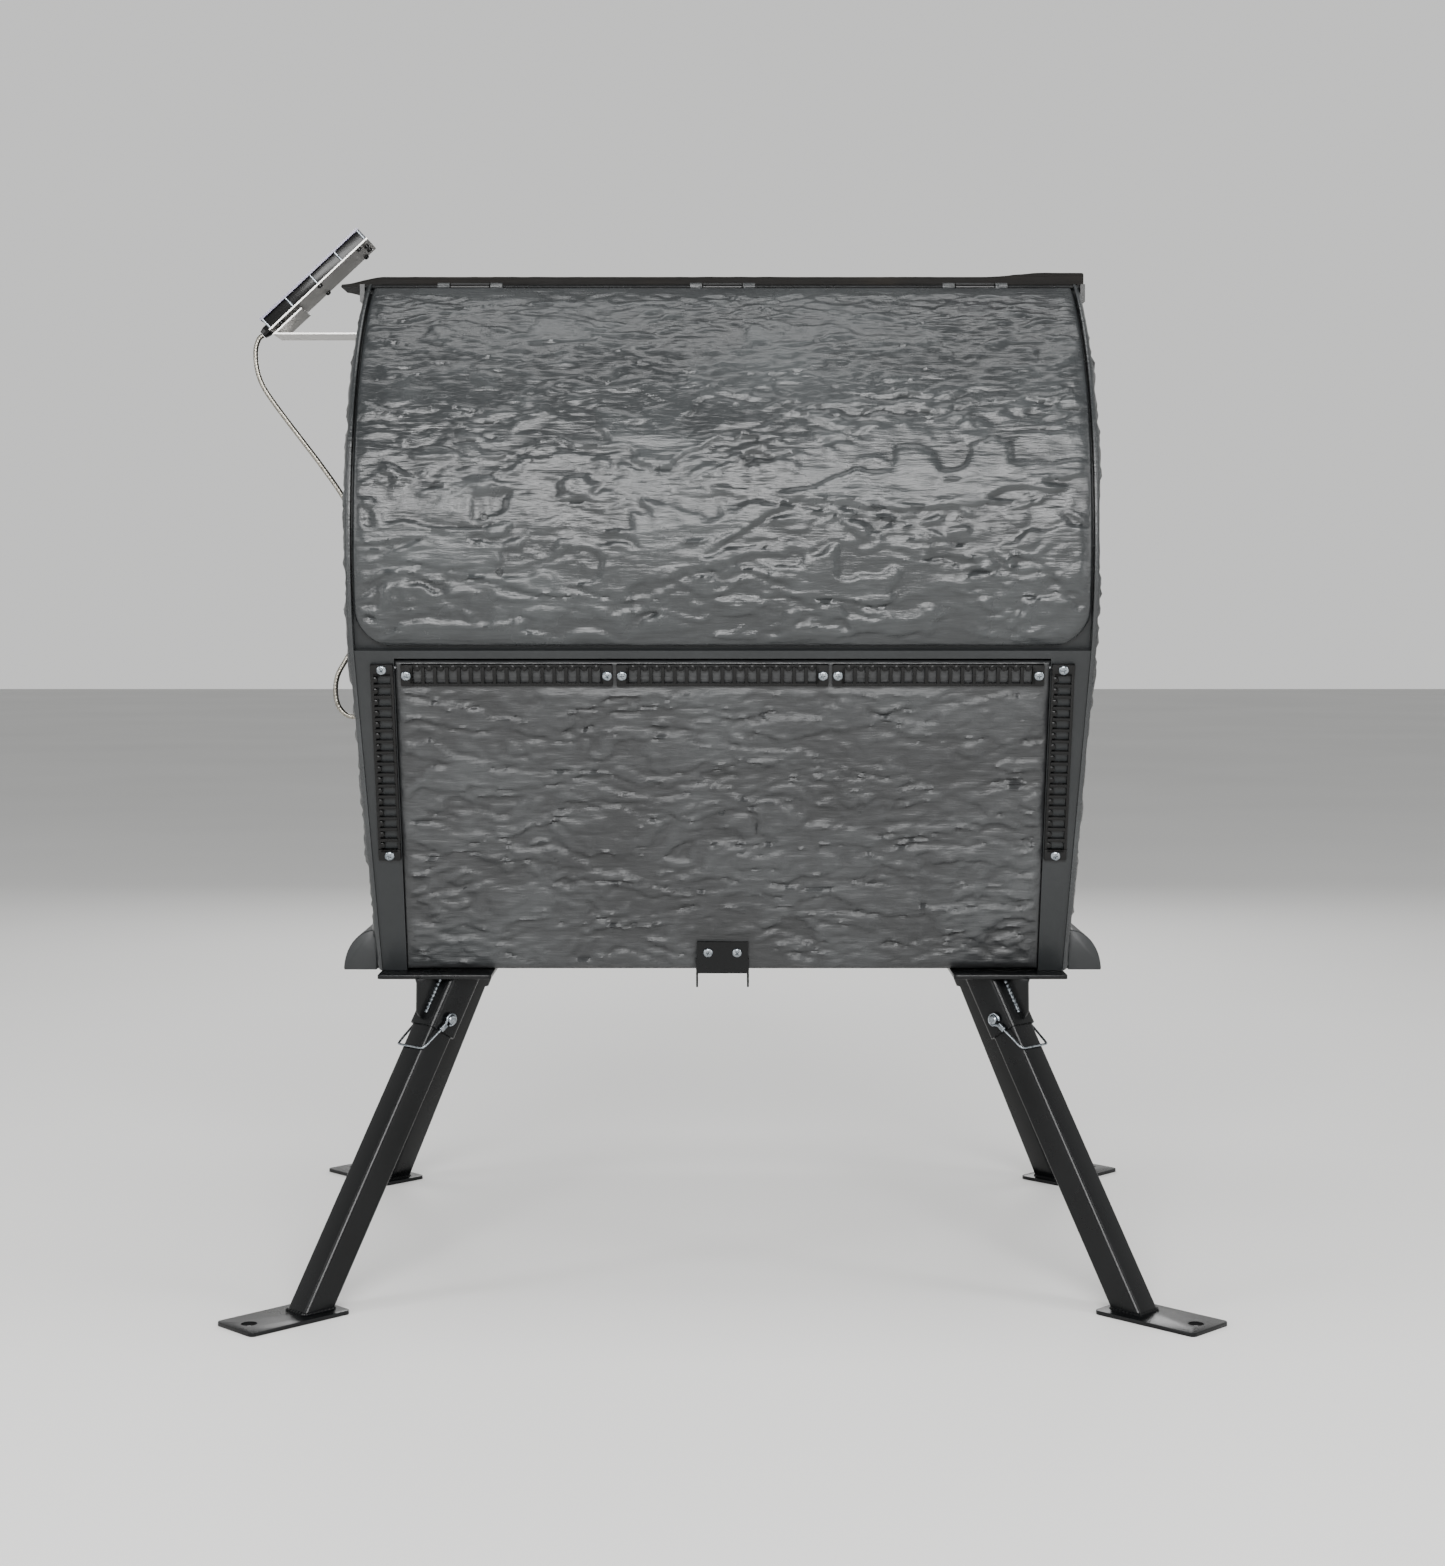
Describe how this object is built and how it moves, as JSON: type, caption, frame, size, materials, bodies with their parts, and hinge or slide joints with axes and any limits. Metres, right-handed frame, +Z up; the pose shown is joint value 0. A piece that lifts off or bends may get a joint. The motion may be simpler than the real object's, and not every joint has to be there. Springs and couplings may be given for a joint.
{
  "type": "compost tumbler",
  "caption": "Drum composter in a fixed bark-look housing on four splayed legs, with front hood, lower door, slotted vent strips and a small solar module.",
  "frame": {"origin": "on the ground, under the middle of the four foot plates", "axes": "+X along the drum's axis towards the end without the solar module, -Y to the front with the hood and the door, +Z up"},
  "size_m": [1.2011, 0.9298, 1.3288],
  "materials": {
    "bark_polyethylene": "rotomoulded, bark relief, satin",
    "smooth_polyethylene": "rotomoulded, smooth satin",
    "ridge_polyethylene": "grey-brown, wood-grain relief",
    "black_plastic": "injection moulded, satin black",
    "black_powder_coat": "black powder coat, semi-gloss",
    "zinc_steel": "bright zinc plate",
    "cable_armour": "spiral-wound steel conduit",
    "plain_steel": "plain steel",
    "drum_plastic": "dark recycled polyethylene",
    "seal_rubber": "black EPDM",
    "grey_aluminium": "bead-blasted, clear anodised",
    "solar_cell": "dark monocrystalline laminate",
    "clear_cover": "clear acrylic, faint violet edge"
  },
  "bodies": {
    "root": {"armoured_cable": "cable_armour", "battery_box": "black_plastic", "bearing_left": "black_plastic", "bearing_right": "black_plastic", "cable_clip": "black_plastic", "collection_tray": "drum_plastic", "door_pin_left": "plain_steel", "door_pin_right": "plain_steel", "end_cap_left": "bark_polyethylene", "end_cap_right": "bark_polyethylene", "front_frame": "smooth_polyethylene", "gear_motor": "black_plastic", "hinge_bracket_left": "black_plastic", "hinge_bracket_right": "black_plastic", "hinge_rod": "black_powder_coat", "hood_seal": "seal_rubber", "housing_shell": "bark_polyethylene", "leg_front_left": "black_powder_coat", "leg_front_right": "black_powder_coat", "leg_rear_left": "black_powder_coat", "leg_rear_right": "black_powder_coat", "lock_pin_front_left": "zinc_steel", "lock_pin_front_right": "zinc_steel", "lock_pin_rear_left": "zinc_steel", "lock_pin_rear_right": "zinc_steel", "module_gland": "black_plastic", "pin_bail_front_left": "zinc_steel", "pin_bail_front_right": "zinc_steel", "pin_bail_rear_left": "zinc_steel", "pin_bail_rear_right": "zinc_steel", "ridge_cover": "ridge_polyethylene", "socket_front_left": "black_powder_coat", "socket_front_right": "black_powder_coat", "socket_rear_left": "black_powder_coat", "socket_rear_right": "black_powder_coat", "solar_arm": "grey_aluminium", "solar_back_plate": "grey_aluminium", "solar_cells": "solar_cell", "solar_cover": "clear_cover", "vent_side_left": "black_plastic", "vent_side_right": "black_plastic", "wall_gland": "black_plastic"},
    "hood": {"hood": "bark_polyethylene"},
    "door": {"front_door": "bark_polyethylene", "vent_top_left": "black_plastic", "vent_top_center": "black_plastic", "vent_top_right": "black_plastic", "latch_bracket": "black_powder_coat", "latch_screw_left": "zinc_steel", "latch_screw_right": "zinc_steel"},
    "drum": {"drum_shell": "drum_plastic", "drum_end_left": "drum_plastic", "drum_end_right": "drum_plastic", "drum_axle": "plain_steel", "drum_paddle_1": "drum_plastic", "drum_paddle_2": "drum_plastic", "drum_paddle_3": "drum_plastic"},
    "hatch": {"drum_hatch": "drum_plastic"}
  },
  "joints": [
    {"name": "hood_hinge", "type": "hinge", "parent": "root", "child": "hood", "pos_m": [0, -0.1698, 1.24904], "axis": [-1, 0, 0], "range_deg": [0, 140]},
    {"name": "door_hinge", "type": "hinge", "parent": "root", "child": "door", "pos_m": [0, -0.3216, 0.76952], "axis": [-1, 0, 0], "range_deg": [0, 70]},
    {"name": "drum_spin", "type": "hinge", "parent": "root", "child": "drum", "pos_m": [0, 0, 0.935], "axis": [1, 0, 0], "continuous": true},
    {"name": "hatch_slide", "type": "hinge", "parent": "drum", "child": "hatch", "pos_m": [0, 0, 0.935], "axis": [-1, 0, 0], "range_deg": [0, 49]}
  ]
}
